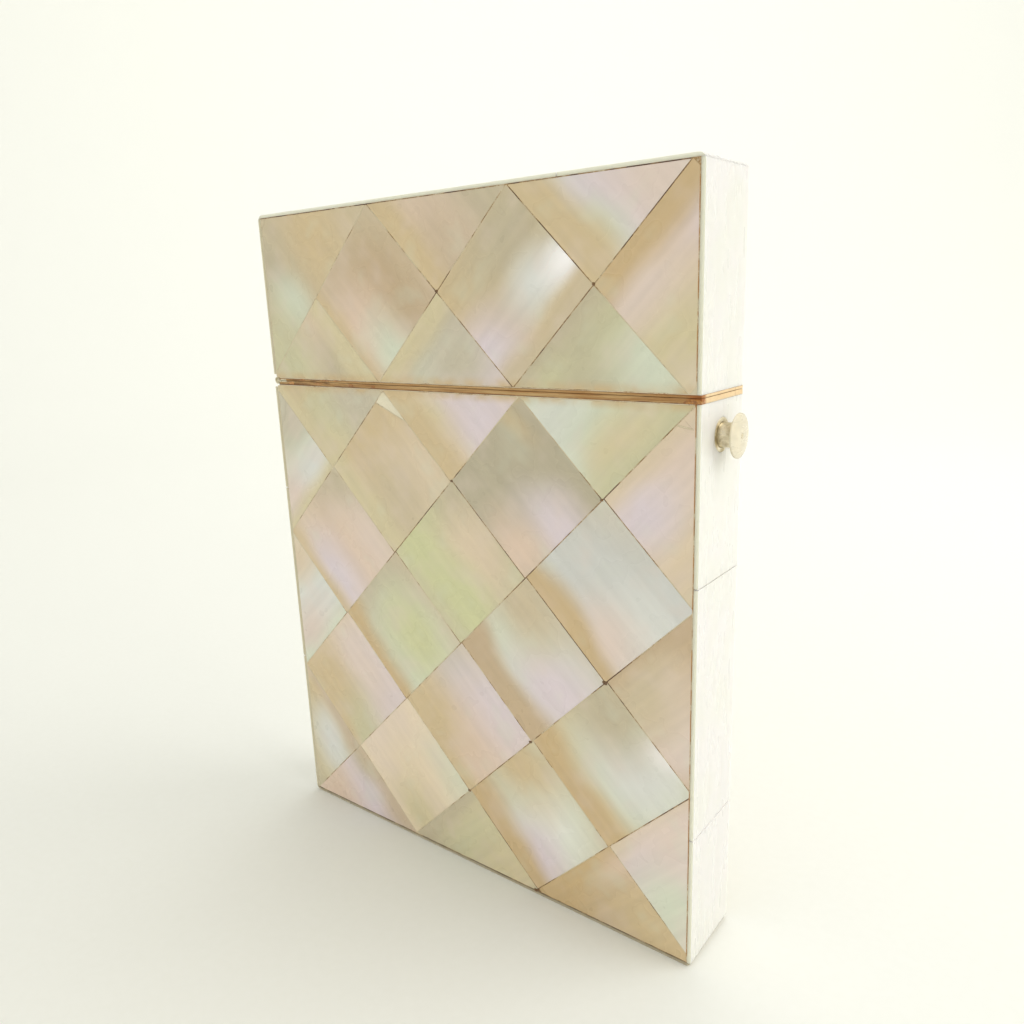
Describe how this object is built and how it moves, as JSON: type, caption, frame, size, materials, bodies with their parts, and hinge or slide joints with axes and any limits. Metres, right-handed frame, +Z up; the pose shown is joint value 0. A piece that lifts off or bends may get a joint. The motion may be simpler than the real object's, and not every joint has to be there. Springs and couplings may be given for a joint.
{
  "type": "visiting card case",
  "caption": "Slim upright case faced with diagonal mother-of-pearl lozenges, with a short lid hinged on one narrow side and a round push button that releases the catch on the other.",
  "frame": {"origin": "centre of the rectangular base's rest face, where the case stands", "axes": "+X towards the push button's narrow side, +Y towards the back, +Z up towards the lid"},
  "size_m": [0.0788, 0.0116, 0.102],
  "materials": {
    "shell_lozenge": "polished mother-of-pearl with soft pink, green and honey colours",
    "shell_strip": "polished pale mother-of-pearl",
    "carcass_wood": "plain sawn hardwood, glued",
    "rim_wood": "thin honey-coloured strips, worn, with brown glue lines",
    "silk_lining": "plain silk over card",
    "hinge_metal": "pale nickel silver, lightly tarnished",
    "spring_steel": "polished spring steel, slightly tarnished",
    "catch_brass": "aged brass",
    "button_shell": "turned and polished shell"
  },
  "bodies": {
    "case": {"body_front_lozenges": "shell_lozenge", "body_front_part_lozenges": "shell_lozenge", "body_back_lozenges": "shell_lozenge", "body_back_part_lozenges": "shell_lozenge", "body_left_strips": "shell_strip", "body_right_strips": "shell_strip", "base_strips": "shell_strip", "body_front_board": "carcass_wood", "body_back_board": "carcass_wood", "body_hinge_rail": "carcass_wood", "body_catch_rail": "carcass_wood", "base_rail": "carcass_wood", "body_front_rim": "rim_wood", "body_back_rim": "rim_wood", "body_hinge_rim": "rim_wood", "body_catch_rim": "rim_wood", "body_front_lining": "silk_lining", "body_back_lining": "silk_lining", "body_hinge_lining": "silk_lining", "body_catch_lining": "silk_lining", "base_lining": "silk_lining", "hinge_body_leaf": "hinge_metal", "hinge_pin": "hinge_metal", "hinge_body_pins": "hinge_metal", "button_bush": "hinge_metal", "catch_spring": "spring_steel", "spring_rivets": "catch_brass"},
    "lid": {"lid_front_lozenges": "shell_lozenge", "lid_front_part_lozenges": "shell_lozenge", "lid_back_lozenges": "shell_lozenge", "lid_back_part_lozenges": "shell_lozenge", "lid_left_strip": "shell_strip", "lid_right_strip": "shell_strip", "top_strips": "shell_strip", "lid_front_board": "carcass_wood", "lid_back_board": "carcass_wood", "lid_hinge_rail": "carcass_wood", "lid_catch_rail": "carcass_wood", "top_rail": "carcass_wood", "lid_front_rim": "rim_wood", "lid_back_rim": "rim_wood", "lid_hinge_rim": "rim_wood", "lid_catch_rim": "rim_wood", "lid_front_lining": "silk_lining", "lid_back_lining": "silk_lining", "lid_hinge_lining": "silk_lining", "lid_catch_lining": "silk_lining", "top_lining": "silk_lining", "hinge_lid_leaf": "hinge_metal", "hinge_lid_pins": "hinge_metal", "catch_plate": "catch_brass", "catch_plate_pins": "catch_brass"},
    "button": {"button_disc": "button_shell", "button_stem": "hinge_metal", "catch_nose": "spring_steel"}
  },
  "joints": [
    {"name": "lid_hinge", "type": "hinge", "parent": "case", "child": "lid", "pos_m": [-0.0375, 0, 0.07618], "axis": [0, -1, 0], "range_deg": [0, 110]},
    {"name": "button_push", "type": "slide", "parent": "case", "child": "button", "axis": [-1, 0, 0], "range_m": [0, 0.0008], "stiffness_N_per_m": 550, "springref_m": -0.0008, "deforming": ["catch_spring"]}
  ]
}
